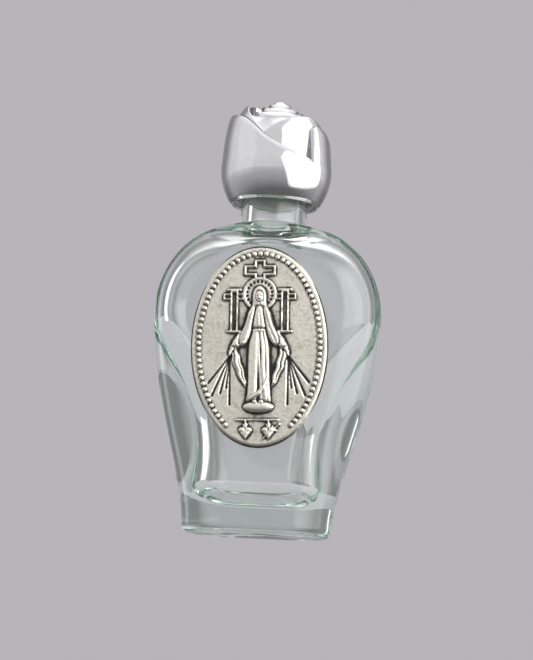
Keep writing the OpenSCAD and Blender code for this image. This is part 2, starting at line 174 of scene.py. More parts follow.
class Paint:
    """The node tree of a material, a world or a light, and the one way to add nodes to it."""

    def __init__(self, block, output="ShaderNodeOutputMaterial"):
        self.block = block
        block.use_nodes = True
        self.tree = block.node_tree
        self.tree.nodes.clear()
        self.output = self.tree.nodes.new(output)

    def add(self, kind, setup=None, inputs=None, output=0):
        node = self.tree.nodes.new(kind)
        for key, value in (setup or {}).items():
            if key == "stops":
                self.set_stops(node.color_ramp, value)
            else:
                setattr(node, key, value)
        for key, value in (inputs or {}).items():
            if isinstance(value, Value):
                self.tree.links.new(value.socket, node.inputs[key])
            else:
                node.inputs[key].default_value = value
        return Value(self, node.outputs[output])

    def set_stops(self, ramp, stops):
        while len(ramp.elements) < len(stops):
            ramp.elements.new(1.0)
        for element, (place, colour) in zip(ramp.elements, stops):
            element.position = place
            element.color = (*colour, 1.0)

    def place(self):
        return self.add("ShaderNodeTexCoord", output="Object")

    def part(self, vector, axis):
        return self.add("ShaderNodeSeparateXYZ", None, {0: vector}, axis)

    def attribute(self, name):
        return self.add("ShaderNodeAttribute", {"attribute_name": name}, None, "Fac")

    def noise(self, scale, detail=3.0, roughness=0.5):
        inputs = {"Vector": self.place(), "Scale": scale, "Detail": detail, "Roughness": roughness}
        return self.add("ShaderNodeTexNoise", None, inputs, "Fac")

    def mix(self, factor, first, second):
        return self.add("ShaderNodeMix", {"data_type": "RGBA"}, {0: factor, 6: first, 7: second}, 2)

    def span(self, value, low, high):
        """Share of the way from low to high, from 0 to 1."""
        inputs = {"Value": value, "From Min": low, "From Max": high}
        return self.add("ShaderNodeMapRange", {"clamp": True}, inputs)

    def bump(self, height, distance, strength):
        return self.add("ShaderNodeBump", None, {"Height": height, "Distance": distance, "Strength": strength})

    def principled(self, inputs):
        return self.add("ShaderNodeBsdfPrincipled", None, inputs)

    def surface(self, shader):
        self.tree.links.new(shader.socket, self.output.inputs["Surface"])
        return self.block

    def volume(self, shader):
        self.tree.links.new(shader.socket, self.output.inputs["Volume"])


def rgba(colour, share=1.0):
    """A colour, or a darker share of it, as a socket takes it."""
    return (*(channel * share for channel in colour), 1.0)


def material_paint(name):
    return Paint(bpy.data.materials.new(name))


# Finishes: noise scales are counts in a metre, and bump distances are metres

GLASS_IOR, GLUE_IOR = 1.52, 1.48
# Density of the glass's absorption, for a metre of it
GLASS_DENSITY = 50.0
# Distances from the middle of the floor between which it fades out, in metres
FLOOR_FADE = (2.5, 7.5)


def clear_glass():
    """Pressed flask glass: faintly wavy, with finger smears and a green tint in its depth."""
    paint = material_paint("clear_glass")
    smear = paint.span(paint.noise(140.0, 4.0, 0.6), 0.52, 0.75)
    wave = paint.noise(95.0, 2.0) + paint.noise(420.0, 1.0) * 0.12
    shader = paint.principled({
        "Base Color": (0.985, 0.995, 0.99, 1.0),
        "Roughness": smear * 0.03,
        "IOR": GLASS_IOR,
        "Transmission Weight": 1.0,
        "Normal": paint.bump(wave, distance=0.00012, strength=0.35),
    })
    absorb = {"Color": rgba(settings().finish.glass), "Density": GLASS_DENSITY}
    paint.volume(paint.add("ShaderNodeVolumeAbsorption", None, absorb))
    return paint.surface(shader)


def chromed_plastic():
    """Vacuum-metallised shell: mirror bright, with a soft orange peel, faint rubbing and painted shade behind the lips.
    """
    paint = material_paint("chromed_plastic")
    chrome = settings().finish.chrome
    peel = paint.noise(330.0, 2.0) + paint.noise(2600.0, 2.0) * 0.05
    rub = paint.span(paint.noise(700.0, 6.0, 0.65), 0.5, 0.78)
    # Painted shade: the crease mark darkens the chrome behind each lip towards a dim copy of it
    crease = paint.attribute("crease")
    bright = paint.mix(rub, rgba(chrome), rgba(chrome, 0.93))
    return paint.surface(paint.principled({
        "Base Color": paint.mix(crease * 0.7, bright, rgba(chrome, 0.12)),
        "Metallic": 1.0,
        "Roughness": 0.035 + rub * 0.07 + crease * 0.15,
        "Normal": paint.bump(peel, distance=0.00006, strength=0.3),
    }))


def antique_silver():
    """Cast relief with dark patina left in its hollows and its high places rubbed bright."""
    paint = material_paint("antique_silver")
    colours = settings().finish
    hollow, rubbed = paint.attribute("patina"), paint.attribute("rubbed")
    cloud = paint.noise(520.0, 5.0, 0.6)
    dent = paint.noise(1500.0, 3.0, 0.55)
    grit = paint.noise(4200.0, 3.0, 0.6)
    specks = paint.span(cloud, 0.42, 0.8) * 0.3 + paint.span(dent, 0.48, 0.76) * 0.32
    specks = specks + paint.span(grit, 0.52, 0.8) * 0.2
    stain = paint.span(hollow + specks * (1 - rubbed * 0.75), 0.05, 0.95)
    worn = paint.span(rubbed + cloud * 0.5, 0.2, 0.85)
    field = paint.mix(worn, rgba(colours.silver, 0.92), rgba(colours.silver))
    return paint.surface(paint.principled({
        "Base Color": paint.mix(stain, field, rgba(colours.patina)),
        "Metallic": 1.0 - stain * 0.45,
        "Roughness": 0.30 + stain * 0.30 + grit * 0.12 - rubbed * 0.10,
        "Normal": paint.bump(grit * 0.5 + dent + cloud * 0.7, distance=0.0001, strength=0.7),
    }))


def white_plastic():
    """Moulded polypropylene of the threaded insert."""
    paint = material_paint("white_plastic")
    plastic = settings().finish.plastic
    cloud = paint.noise(260.0, 4.0)
    return paint.surface(paint.principled({
        "Base Color": paint.mix(cloud, rgba(plastic), rgba(plastic, 0.93)),
        "Roughness": 0.36 + cloud * 0.14,
        "Subsurface Weight": 0.12,
        "Subsurface Radius": (0.0008, 0.0007, 0.0006),
        "Normal": paint.bump(paint.noise(3800.0, 3.0), distance=0.00002, strength=0.3),
    }))


def sealing_foam():
    """Closed-cell foam of the sealing disc."""
    paint = material_paint("sealing_foam")
    foam = settings().finish.foam
    cells = paint.add("ShaderNodeTexVoronoi", None, {"Vector": paint.place(), "Scale": 4200.0}, "Distance")
    return paint.surface(paint.principled({
        "Base Color": paint.mix(paint.span(cells, 0.1, 0.7), rgba(foam, 0.86), rgba(foam)),
        "Roughness": 0.72 + cells * 0.15,
        "Normal": paint.bump(cells, distance=0.00005, strength=0.5),
    }))


def clear_glue():
    """Cured clear cement with trapped haze."""
    paint = material_paint("clear_glue")
    haze = paint.span(paint.noise(900.0, 4.0), 0.45, 0.75)
    return paint.surface(paint.principled({
        "Base Color": paint.mix(haze, (0.95, 0.95, 0.93, 1.0), (0.86, 0.86, 0.83, 1.0)),
        "Roughness": 0.10 + haze * 0.25,
        "IOR": GLUE_IOR,
        "Transmission Weight": 0.85,
        "Normal": paint.bump(paint.noise(1200.0), distance=0.00003, strength=0.3),
    }))


def studio_floor():
    """A pale, evenly lit table that shows only from above and fades out far from its middle."""
    paint = material_paint("studio_floor")
    colour = settings().finish.floor
    cloud = paint.noise(6.0, 4.0)
    shader = paint.principled({
        "Base Color": paint.mix(cloud, rgba(colour), rgba(colour, 0.97)),
        "Roughness": 0.85 + cloud * 0.1,
        "Specular IOR Level": 0.1,
        "Emission Color": rgba(colour),
        "Emission Strength": 1.75,
    })
    away = paint.add("ShaderNodeVectorMath", {"operation": "LENGTH"}, {0: paint.place()}, "Value")
    back = paint.add("ShaderNodeNewGeometry", None, None, "Backfacing")
    hidden = back.math("MAXIMUM", back, paint.span(away, *FLOOR_FADE))
    through = paint.add("ShaderNodeBsdfTransparent")
    return paint.surface(paint.add("ShaderNodeMixShader", None, {0: hidden, 1: shader, 2: through}))


# Modelling helpers


def start_piece():
    if bpy.context.object and bpy.context.object.mode != "OBJECT":
        bpy.ops.object.mode_set(mode="OBJECT")
    bpy.ops.object.select_all(action="DESELECT")


@contextmanager
def editing():
    """Edit mode with the whole mesh selected, and object mode again after it."""
    bpy.ops.object.mode_set(mode="EDIT")
    bpy.ops.mesh.select_all(action="SELECT")
    yield
    bpy.ops.object.mode_set(mode="OBJECT")


def points_of(mesh):
    flat = np.empty(len(mesh.vertices) * 3)
    mesh.vertices.foreach_get("co", flat)
    return flat.reshape(-1, 3)


def set_points(mesh, points):
    mesh.vertices.foreach_set("co", np.asarray(points, float).ravel())
    mesh.update()


def mark_points(mesh, name, values):
    layer = mesh.attributes.new(name, "FLOAT", "POINT")
    layer.data.foreach_set("value", np.asarray(values, np.float32))


def flat_grid(columns, rows):
    """A flat grid of faces, with the row and the column of each of its points."""
    start_piece()
    bpy.ops.mesh.primitive_grid_add(x_subdivisions=columns, y_subdivisions=rows, size=2.0)
    obj = bpy.context.object
    flat = (points_of(obj.data)[:, :2] + 1) / 2
    column, row = np.rint(flat * (columns, rows)).astype(int).T
    return obj, row, column


def tidy_piece(obj, name, sharp_angle):
    """Merges the seams, turns the faces outwards and shades the piece."""
    with editing():
        bpy.ops.mesh.remove_doubles(threshold=1e-7)
        bpy.ops.mesh.dissolve_degenerate(threshold=1e-8)
        bpy.ops.mesh.normals_make_consistent(inside=False)
    bpy.ops.object.shade_smooth_by_angle(angle=math.radians(sharp_angle))
    obj.name = name
    obj.data.name = name
    return obj


def rolled_sheet(name, rows, sharp_angle, marks=None):
    """A flat grid rolled up so that its rows become the given rings, in millimetres, and closed along its seam."""
    rows = np.asarray(rows, float)
    count, around = rows.shape[:2]
    obj, row, column = flat_grid(around, count - 1)
    column = column % around
    set_points(obj.data, rows[row, column] * MM)
    for mark, values in (marks or {}).items():
        mark_points(obj.data, mark, np.array(values)[row, column])
    return tidy_piece(obj, name, sharp_angle)


def finish_piece(obj, material, body, slot, *nodes):
    obj.data.materials.clear()
    obj.data.materials.append(material)
    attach(obj, body)
    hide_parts(*nodes)
    return obj


def rise(low, high, x):
    t = np.clip((x - low) / (high - low), 0.0, 1.0)
    return t * t * (3 - 2 * t)


def curve(points, count):
    """Points of a cubic curve, first and last included."""
    u = np.linspace(0.0, 1.0, count)[:, None]
    p = np.asarray(points, float)
    return (1 - u) ** 3 * p[0] + 3 * u * (1 - u) ** 2 * p[1] + 3 * u * u * (1 - u) * p[2] + u ** 3 * p[3]


def quarter(count):
    return np.linspace(0.0, math.pi / 2, count)


# Glass flask

# Points in each of its rings
AROUND = 240
# Lowest and highest point of the threads on the neck and in the insert, and step between their rings, in millimetres
NECK_THREAD, INSERT_THREAD, THREAD_STEP = (59.9, 64.3), (58.7, 62.2), 0.14
# Height over which a thread runs out, and the shares of its pitch where its crest ends and its root starts
THREAD_FADE, THREAD_FLANK = 0.6, (0.22, 0.52)


def rounded_ring(half_w, half_d, r_w, r_d, z):
    """An oblong with elliptical corners at one height, its points evenly spaced from the middle of the right side."""
    r_w, r_d = max(min(r_w, 0.98 * half_w), 1e-4), max(min(r_d, 0.98 * half_d), 1e-4)
    angles = quarter(48)
    corners = [(1, 1, 0.0), (-1, 1, 0.5), (-1, -1, 1.0), (1, -1, 1.5)]
    x, y = [half_w], [0.0]
    for side_x, side_y, turn in corners:
        x.extend(side_x * (half_w - r_w) + r_w * np.cos(angles + turn * math.pi))
        y.extend(side_y * (half_d - r_d) + r_d * np.sin(angles + turn * math.pi))
    x.append(half_w)
    y.append(0.0)
    along = np.concatenate([[0.0], np.cumsum(np.hypot(np.diff(x), np.diff(y)))])
    even = np.linspace(0.0, along[-1], AROUND, endpoint=False)
    return np.column_stack([np.interp(even, along, x), np.interp(even, along, y), np.full(AROUND, z)])


def round_ring(r, z, around=AROUND):
    angle = np.linspace(0.0, 2 * math.pi, around, endpoint=False)
    return np.column_stack([r * np.cos(angle), r * np.sin(angle), np.full(around, z) if np.isscalar(z) else z])


def shoulder_rings(points, half_d, crown, top_z, r):
    """Rings up a shoulder: their corners widen as the outline turns level, so that the edge keeps its radius."""
    along = np.gradient(points, axis=0)
    rings = []
    for (half_w, z), (step_w, step_z) in zip(points, along):
        lift = max(0.0, z - (top_z - crown))
        depth = half_d - crown + math.sqrt(max(0.0, crown * crown - lift * lift))
        lean = max(0.1, abs(step_z) / math.hypot(step_w, step_z))
        rings.append(rounded_ring(half_w, depth, r / lean, r + (depth - r) * (1 - lean) ** 2, z))
    return rings


def thread_height(angle, z, pitch, window, offset):
    """Share of the thread's height on a helix that climbs with the angle."""
    phase = (z - window[0]) / pitch - angle / (2 * math.pi) + offset
    across = np.abs((phase % 1.0) - 0.5) * 2
    fade = rise(window[0], window[0] + THREAD_FADE, z) * (1 - rise(window[1] - THREAD_FADE, window[1], z))
    return (1 - rise(*THREAD_FLANK, across)) * fade


def flask_rows(s):
    """Rings of the whole glass, from under the base, over the lip and down to the cavity's floor, in millimetres."""
    body_w, body_d, lip_z, foot_w = (v / MM for v in (s.body_w, s.body_d, s.lip_z, s.foot_w))
    widest_z, shoulder_z, edge_r, crown_r = (v / MM for v in (s.widest_z, s.shoulder_z, s.edge_r, s.crown_r))
    heel_r, push_up, base_t, panel_t = (v / MM for v in (s.heel_r, s.push_up, s.base_t, s.panel_t))
    shoulder_t, side_t, floor_r = (v / MM for v in (s.shoulder_t, s.foot_side_t, s.floor_r))
    neck_r, bore_r, cavity_edge = s.neck_d / 2 / MM, s.bore_d / 2 / MM, s.cavity_edge_r / MM
    root_r, lip_r, half, half_d = 0.7, 0.6, body_w / 2, body_d / 2
    # How far each outline runs on from its two ends before it bends
    flank_pull, shoulder_pull, inner_pull = (9.0, 14.3), (7.2, 7.7), (16.0, 8.5)
    # Heights where the plain neck ends and the threaded rings start, and the plain band under the lip
    plain_top, threaded_foot, plain_lip = 59.6, 59.75, 0.3
    foot, root = foot_w / 2, neck_r + root_r
    rows = [round_ring(0.0, push_up)]
    for share in (0.08, 0.25, 0.5, 0.7, 0.85, 0.95):
        z = push_up * (1 - float(rise(0.0, 0.9, share)))
        corner = share * edge_r
        rows.append(rounded_ring(share * (foot - heel_r), share * (half_d - heel_r), corner, corner, z))
    for a in quarter(8):
        inset = heel_r * (1 - math.sin(a))
        corner = edge_r - inset / 2
        rows.append(rounded_ring(foot - inset, half_d - inset, corner, corner, heel_r * (1 - math.cos(a))))
    flank = curve([(foot, heel_r), (foot, flank_pull[0]), (half, widest_z - flank_pull[1]),
                   (half, widest_z)], 40)
    shoulder = curve([(half, widest_z), (half, widest_z + shoulder_pull[0]),
                      (root + shoulder_pull[1], shoulder_z), (root, shoulder_z)], 56)
    rows += [rounded_ring(w, half_d, edge_r, edge_r, z) for w, z in flank[1:]]
    rows += shoulder_rings(shoulder, half_d, crown_r, shoulder_z, edge_r)[1:]
    flat_share = (half_d - crown_r) / root
    for a in quarter(7)[1:]:
        r = root - root_r * math.sin(a)
        narrow = 1 - (1 - flat_share) * (1 - math.sin(a))
        rows.append(rounded_ring(r, r * narrow, r, r * narrow, shoulder_z + root_r * (1 - math.cos(a))))
    angle = np.linspace(0.0, 2 * math.pi, AROUND, endpoint=False)
    plain = np.linspace(shoulder_z + root_r, plain_top, 8)[1:]
    threaded = np.arange(threaded_foot, lip_z - lip_r - plain_lip, THREAD_STEP)
    for z in np.concatenate([plain, threaded]):
        ridge = s.thread_h / MM * thread_height(angle, z, s.thread_pitch / MM, NECK_THREAD, 0.0)
        rows.append(round_ring(neck_r + ridge, z))
    for a in quarter(7):
        rows.append(round_ring(neck_r - lip_r + lip_r * math.cos(a), lip_z - lip_r + lip_r * math.sin(a)))
    for a in quarter(7):
        rows.append(round_ring(bore_r + lip_r - lip_r * math.sin(a), lip_z - lip_r + lip_r * math.cos(a)))
    top_z, cavity_half = shoulder_z - shoulder_t, half - shoulder_t
    cavity_d, cavity_root, cavity_foot = half_d - panel_t, bore_r + root_r, foot - side_t
    for z in np.linspace(lip_z - lip_r, top_z + root_r, 12)[1:-1]:
        rows.append(round_ring(bore_r, z))
    for a in quarter(7):
        rows.append(round_ring(bore_r + root_r * (1 - math.cos(a)), top_z + root_r * (1 - math.sin(a))))
    floor_z = base_t + floor_r
    inner_shoulder = curve([(cavity_half, widest_z), (cavity_half, widest_z + shoulder_pull[0]),
                            (cavity_root + shoulder_pull[1], top_z), (cavity_root, top_z)], 56)
    inner_flank = curve([(cavity_foot, floor_z), (cavity_foot, floor_z + inner_pull[0]),
                         (cavity_half, widest_z - inner_pull[1]), (cavity_half, widest_z)], 40)
    rows += shoulder_rings(inner_shoulder, cavity_d, cavity_d - cavity_root, top_z, cavity_edge)[::-1][1:]
    rows += [rounded_ring(w, cavity_d, cavity_edge, cavity_edge, z) for w, z in inner_flank[::-1][1:]]
    for a in quarter(12)[1:]:
        inset = floor_r * (1 - math.cos(a))
        corner = cavity_edge - inset / 2
        z = floor_z - floor_r * math.sin(a)
        rows.append(rounded_ring(cavity_foot - inset, cavity_d - inset, corner, corner, z))
    for share in (0.75, 0.5, 0.25, 0.08):
        rows.append(rounded_ring(share * (cavity_foot - floor_r), share * (cavity_d - floor_r),
                                 share * 2.0, share * 2.0, base_t))
    rows.append(round_ring(0.0, base_t))
    return rows


class BOTTLE_OT_glass_flask(bpy.types.Operator):
    """Make the pressed glass flask with its cavity, neck and screw thread"""

    bl_idname = "bottle.glass_flask"
    bl_label = "Glass flask"

    def execute(self, context):
        obj = rolled_sheet("flask", flask_rows(settings().flask), 70.0)
        finish_piece(obj, clear_glass(), "bottle", "clear_glass", "glass_bottle")
        return {"FINISHED"}


# Rose cap: heights are counted from the cap's rim, in millimetres, and angles from the front

# Edge of each petal as angles and heights, for the layers from the outside in
PETALS = {
    "outer": (((-108, 14.6), (-100, 15.2), (-90, 15.4), (-70, 15.35), (-55, 15.0), (-40, 14.3), (-25, 12.9),
               (-9, 10.8), (10, 9.1), (28, 7.9), (48, 6.9)),
              ((48, 12.6), (53, 13.1), (62, 13.1), (77, 12.4), (100, 10.6), (130, 8.3), (156, 7.0)),
              ((156, 14.3), (165, 15.0), (185, 15.2), (205, 14.2), (230, 10.5), (252, 7.2))),
    "inner": (((-150, 14.2), (-140, 15.8), (-125, 17.0), (-110, 17.4), (-85, 17.3), (-66, 17.15), (-57, 16.95),
               (-50, 16.55), (-44, 15.95), (-38, 15.25), (-30, 14.2), (-22, 13.05), (-12, 11.6)),
              ((-12, 11.3), (4, 13.1), (22, 14.2), (42, 14.8), (57, 14.9), (68, 14.4), (80, 13.3), (96, 11.8)),
              ((96, 13.2), (106, 14.6), (125, 15.7), (150, 15.9), (175, 14.8), (195, 13.0), (210, 11.6))),
    "heart": (((-44, 16.0), (-34, 15.7), (-18, 15.35), (0, 15.2), (22, 15.45), (38, 15.4), (54, 15.5)),
              ((54, 15.9), (75, 16.4), (110, 16.0), (168, 15.3)),
              ((168, 16.0), (190, 16.6), (230, 16.9), (262, 17.2), (290, 17.15), (306, 16.95), (316, 16.65))),
    "bud": (((-84, 16.9), (-65, 17.3), (-30, 16.9), (0, 16.4), (30, 16.7), (60, 16.8), (96, 16.5)),
            ((96, 17.1), (130, 17.6), (190, 17.2), (276, 16.5))),
    "tip": (((24, 17.6), (60, 18.0), (130, 17.9), (204, 17.5)),
            ((204, 17.8), (250, 18.05), (320, 17.9), (384, 17.5))),
}
# Radius, foot height, lip thickness and added width to the left of the small layers in the middle
SMALL = {"heart": (5.0, 15.0, 0.24, 0.8), "bud": (3.85, 16.1, 0.22, 0.0), "tip": (2.35, 17.1, 0.2, 0.0)}
# Reach of the barrel above its belly, and radius, foot and reach of the dome that the inner petals lean on
BARREL_REACH, INNER_R, INNER_FOOT, INNER_REACH = 20.8, 8.2, 11.5, 8.4
# Height over which a petal lifts off the barrel, and degrees over which its leading edge rounds off
LIFT_H, LEAD_ANGLE = 3.7, 1.6
# Radius and height of the hollow over the socket, and rounds inside and outside the rim
CORE_R, CORE_H, RIM_ROUNDS = 4.5, 1.4, (0.2, 0.3)
# Play between the tip and the top of the cap, and how far above the lip before it a small layer keeps painted crease
# shade
TIP_PLAY, HEART_SHADE = 0.05, 0.32


def barrel_r(s, h):
    cap_r, rim_r, belly = s.cap_d / 2 / MM, s.rim_d / 2 / MM, s.belly_h / MM
    rim_curve = belly / math.sqrt(1 - (rim_r / cap_r) ** 2)
    reach = np.where(h < belly, rim_curve, BARREL_REACH)
    return cap_r * np.sqrt(np.clip(1 - ((h - belly) / reach) ** 2, 0.0, 1.0))


def table_curve(table, x):
    """A smooth curve through the points of a table."""
    place, height = np.array(table, float).T
    slope = np.gradient(height, place)
    i = np.clip(np.searchsorted(place, x, side="right") - 1, 0, len(place) - 2)
    step = place[i + 1] - place[i]
    t = np.clip((x - place[i]) / step, 0.0, 1.0)
    held = height[i] * (1 + 2 * t) * (1 - t) ** 2 + height[i + 1] * t * t * (3 - 2 * t)
    return held + step * t * (1 - t) * (slope[i] * (1 - t) - slope[i + 1] * t)


def petal_edge(name, angle):
    """Edge height at each angle round a layer, the place along its petal and the roundness of its leading edge."""
    edge, place, past = np.zeros((3, len(angle)))
    for table in PETALS[name]:
        first, last = table[0][0], table[-1][0]
        turn = (angle - first) % 360.0
        mine = turn < last - first
        edge[mine] = table_curve(table, first + turn[mine])
        place[mine] = turn[mine] / (last - first)
        past[mine] = turn[mine]
    return edge, place, np.sqrt(np.clip(1 - (1 - np.minimum(1.0, past / LEAD_ANGLE)) ** 2, 0.0, 1.0))


def bloom_angles(step):
    """Angles of the bloom's columns, closer together where a petal starts."""
    starts = np.array([table[0][0] for layer in PETALS.values() for table in layer], float)
    close = np.array([-0.7, -0.3, -0.05, 0.0, 0.08, 0.25, 0.5, 0.9, 1.4])
    near = (starts[:, None] + close).ravel()
    even = np.arange(-180.0, 180.0, step)
    even = even[np.min(np.abs((even[:, None] - near + 180.0) % 360.0 - 180.0), axis=1) > 0.3]
    return np.unique(np.round((np.concatenate([even, near]) + 180.0) % 360.0 - 180.0, 4))


def bloom_rows(s):
    """Rings of the whole bloom, up its socket, round the rim, up each layer of petals and over its lip to the tip, and
    how deep each of their points lies in the crease behind a lip, as its share of painted shade."""
    angle = bloom_angles(math.degrees(s.step))
    turn = np.radians(angle - 90.0)
    lip, lift, roll, belly = (v / MM for v in (s.petal_t, s.petal_lift, s.lip_roll, s.belly_h))
    rows, crease_shade = [], []

    # crease: share of painted shade at the ring's points
    def ring(r, h, crease=0.0):
        r, h = np.broadcast_to(r, turn.shape), np.broadcast_to(h, turn.shape)
        rows.append(np.column_stack([r * np.cos(turn), r * np.sin(turn), h]))
        crease_shade.append(np.broadcast_to(crease, turn.shape))

    def wall(radius, low, edge, thick, levels, lip_before=-9.0, shade=0.0):
        """Up the outside of a layer and over its rounded lip; gives the radius on its inside."""
        top = edge - thick / 2
        for level in levels:
            h = low + level * (top - low)
            # Painted shade: full in the crease over the lip before, fading out above it
            ring(radius(h), h, 1 - rise(shade, shade + 0.3, h - lip_before))
        middle = radius(top) - thick / 2
        for a in np.linspace(0.0, math.pi, 8)[1:]:
            ring(middle + thick / 2 * math.cos(a), top + thick / 2 * math.sin(a))
        return middle - thick / 2

    rim_r, ceiling = s.rim_d / 2 / MM, (INSERT_HIGH.z - s.rim_z) / MM
    socket_r, inner_round, outer_round = rim_r - sum(RIM_ROUNDS), *RIM_ROUNDS
    for r, h in ((0.0, CORE_H), (CORE_R * 0.6, CORE_H), (CORE_R - 0.05, CORE_H), (CORE_R, CORE_H - 0.05),
                 (CORE_R, 0.05), (CORE_R + 0.05, 0.02), (socket_r - 0.1, 0.02), (socket_r, -0.05)):
        ring(r, ceiling + h)
    for h in np.linspace(ceiling - 0.4, inner_round, 6):
        ring(socket_r, h)
    for a in quarter(5)[1:]:
        ring(socket_r + inner_round * (1 - math.cos(a)), inner_round * (1 - math.sin(a)))
    for a in quarter(5)[:-1]:
        ring(rim_r - outer_round * (1 - math.sin(a)), outer_round * (1 - math.cos(a)))

    outer_h, outer_place, outer_lead = petal_edge("outer", angle)
    inner_h, inner_place, inner_lead = petal_edge("inner", angle)

    def outer_r(h):
        proud = lift * (1 - outer_place) * outer_lead * rise(belly + 0.4, belly + LIFT_H, h)
        rolled = roll * rise(outer_h - 1.0, outer_h, h) ** 2
        return barrel_r(s, h) - lift * rise(belly, belly + LIFT_H, h) + proud - rolled

    def inner_r(h):
        over = np.maximum(0.0, h - INNER_FOOT) / INNER_REACH
        lean = INNER_R * np.sqrt(np.clip(1 - over ** 2, 0.0, 1.0)) + 0.1 * (1 - inner_place) * inner_lead
        return np.minimum(lean, np.where(h < outer_h, inside - 0.05, 99.0))

    inside = wall(outer_r, outer_round, outer_h, lip, np.linspace(0.0, 1.0, 46))
    valley = np.minimum(outer_h, inner_h) - 0.5
    # Painted shade: the valley between the outer and inner layers lies fully in the crease
    ring(inside - 0.02, valley + 0.08, 1.0)
    inner_inside = wall(inner_r, valley, inner_h, lip, np.linspace(0.0, 1.0, 36), outer_h)
    heart_r, heart_foot = SMALL["heart"][:2]
    floor_r = inner_inside - 0.05
    dome = heart_foot + (heart_r - floor_r) * 1.35
    floor_h = np.minimum(inner_h - 0.3, np.maximum(dome, inner_h - 1.0))
    ring(floor_r, (floor_h + inner_h) / 2)
    from_r, from_h, lip_before = floor_r - 0.1, floor_h, inner_h
    leftward = 0.5 + 0.5 * np.cos(np.radians(angle + 85.0))
    for name, (least_r, foot, thick, stretch) in SMALL.items():
        edge, _, lead = petal_edge(name, angle)
        radius, lean = least_r + stretch * leftward ** 2, 0.55 - 0.38 * stretch * leftward
        low = np.minimum(foot, edge - 0.3)
        for share in np.linspace(0.0, 0.97, 6):
            swell = 0.18 * math.sin(math.pi * share) * np.minimum(1.0, from_r - radius)
            # Painted shade: deepens on the way down into the next small layer's crease
            ring(from_r + (radius - from_r) * share, from_h + (low - from_h) * share + swell, share * share)
        back = wall(lambda h: radius - 0.1 * (1 - lead) - lean * (h - low), low, edge, thick,
                    np.linspace(0.0, 1.0, 12), lip_before, HEART_SHADE)
        from_r, from_h, lip_before = back - 0.03, edge - 0.2, edge
        ring(back - 0.01, edge - 0.14)
    top = s.cap_h / MM - TIP_PLAY
    for share in (0.8, 0.55, 0.3, 0.0):
        ring(from_r * share, from_h + (top - from_h) * (1 - share * share))
    return np.array(rows) + np.array([0.0, 0.0, s.rim_z / MM]), crease_shade


class BOTTLE_OT_rose_cap(bpy.types.Operator):
    """Make the metallised rose bloom from its layers of petals"""

    bl_idname = "bottle.rose_cap"
    bl_label = "Rose cap"

    def execute(self, context):
        rows, crease_shade = bloom_rows(settings().cap)
        # The crease mark carries the painted shade behind the lips
        bloom = rolled_sheet("rose_cap", rows, 48.0, {"crease": crease_shade})
        finish_piece(bloom, chromed_plastic(), "cap", "chromed_plastic", "cap_shell")
        return {"FINISHED"}


# Inner cap

# Points in a ring of the insert, its bevel and wall, and the height of the thread in its bore, in millimetres
INSERT_AROUND, INSERT_BEVEL, INSERT_WALL, INSERT_RIDGE = 120, 0.32, 0.65, 0.5
# Rounded edge, flat border, and width and depth of the dished step of the sealing disc
DISC_ROUND, DISC_BORDER, DISC_STEP, DISC_DISH = 0.00012, 0.0012, 0.0003, -0.00008


def insert_rows(pitch):
    """Rings of the threaded insert, from its ceiling down the threaded bore, round the skirt and over its top."""
    angle = np.linspace(0.0, 2 * math.pi, INSERT_AROUND, endpoint=False)
    foot, top, ceiling = INSERT_LOW.z / MM, INSERT_HIGH.z / MM, LINER_HIGH.z / MM
    outer, bevel, edge = (INSERT_HIGH.x - INSERT_LOW.x) / 2 / MM, INSERT_BEVEL, 0.08
    bore = outer - INSERT_WALL
    offset = 0.5 + (INSERT_THREAD[0] - NECK_THREAD[0]) / pitch
    rings = [(share * bore, ceiling) for share in (0.0, 0.5, 0.96)]
    for z in np.arange(ceiling - 0.25, foot + bevel, -THREAD_STEP):
        rings.append((bore - INSERT_RIDGE * thread_height(angle, z, pitch, INSERT_THREAD, offset), z))
    rings += [(bore, foot + bevel), (bore + bevel, foot), (outer - edge, foot), (outer, foot + edge)]
    rings += [(outer, z) for z in np.linspace(foot + 2.0, top - bevel, 4)]
    rings += [(outer - bevel, top), (outer * 0.5, top), (0.0, top)]
    return [round_ring(r, z, INSERT_AROUND) for r, z in rings]


class BOTTLE_OT_inner_cap(bpy.types.Operator):
    """Make the threaded insert and the sealing disc inside the rose"""

    bl_idname = "bottle.inner_cap"
    bl_label = "Inner cap"

    def execute(self, context):
        insert = rolled_sheet("threaded_insert", insert_rows(settings().flask.thread_pitch / MM), 35.0)
        finish_piece(insert, white_plastic(), "cap", "white_plastic", "cap_insert")
        self.sealing_disc()
        return {"FINISHED"}

    def sealing_disc(self):
        start_piece()
        r, low, high = (LINER_HIGH.x - LINER_LOW.x) / 2, LINER_LOW.z, LINER_HIGH.z
        bpy.ops.mesh.primitive_cylinder_add(vertices=96, radius=r, depth=high - low, end_fill_type="NGON",
                                            location=(0.0, 0.0, (low + high) / 2))
        disc = bpy.context.object
        bpy.ops.object.transform_apply(location=True, rotation=True, scale=True)
        with editing():
            bpy.ops.mesh.bevel(offset=DISC_ROUND, segments=3, affect="EDGES", clamp_overlap=True)
        for face in disc.data.polygons:
            face.select = abs(face.normal.z) > 0.99 and face.area > 1e-5
        bpy.ops.object.mode_set(mode="EDIT")
        bpy.ops.mesh.select_mode(type="FACE")
        bpy.ops.mesh.inset(thickness=DISC_BORDER, depth=0.0)
        bpy.ops.mesh.inset(thickness=DISC_STEP, depth=DISC_DISH)
        bpy.ops.object.mode_set(mode="OBJECT")
        tidy_piece(disc, "sealing_disc", 40.0)
        finish_piece(disc, sealing_foam(), "liner", "sealing_foam", "cap_liner")


# Medal: its own x is to the right and y upwards from its middle, in millimetres


def bulge(d):
    return np.sqrt(np.clip(1 - d * d, 0.0, 1.0))


def oval_d(x, y, middle, half):
    return np.hypot((x - middle[0]) / half[0], (y - middle[1]) / half[1])


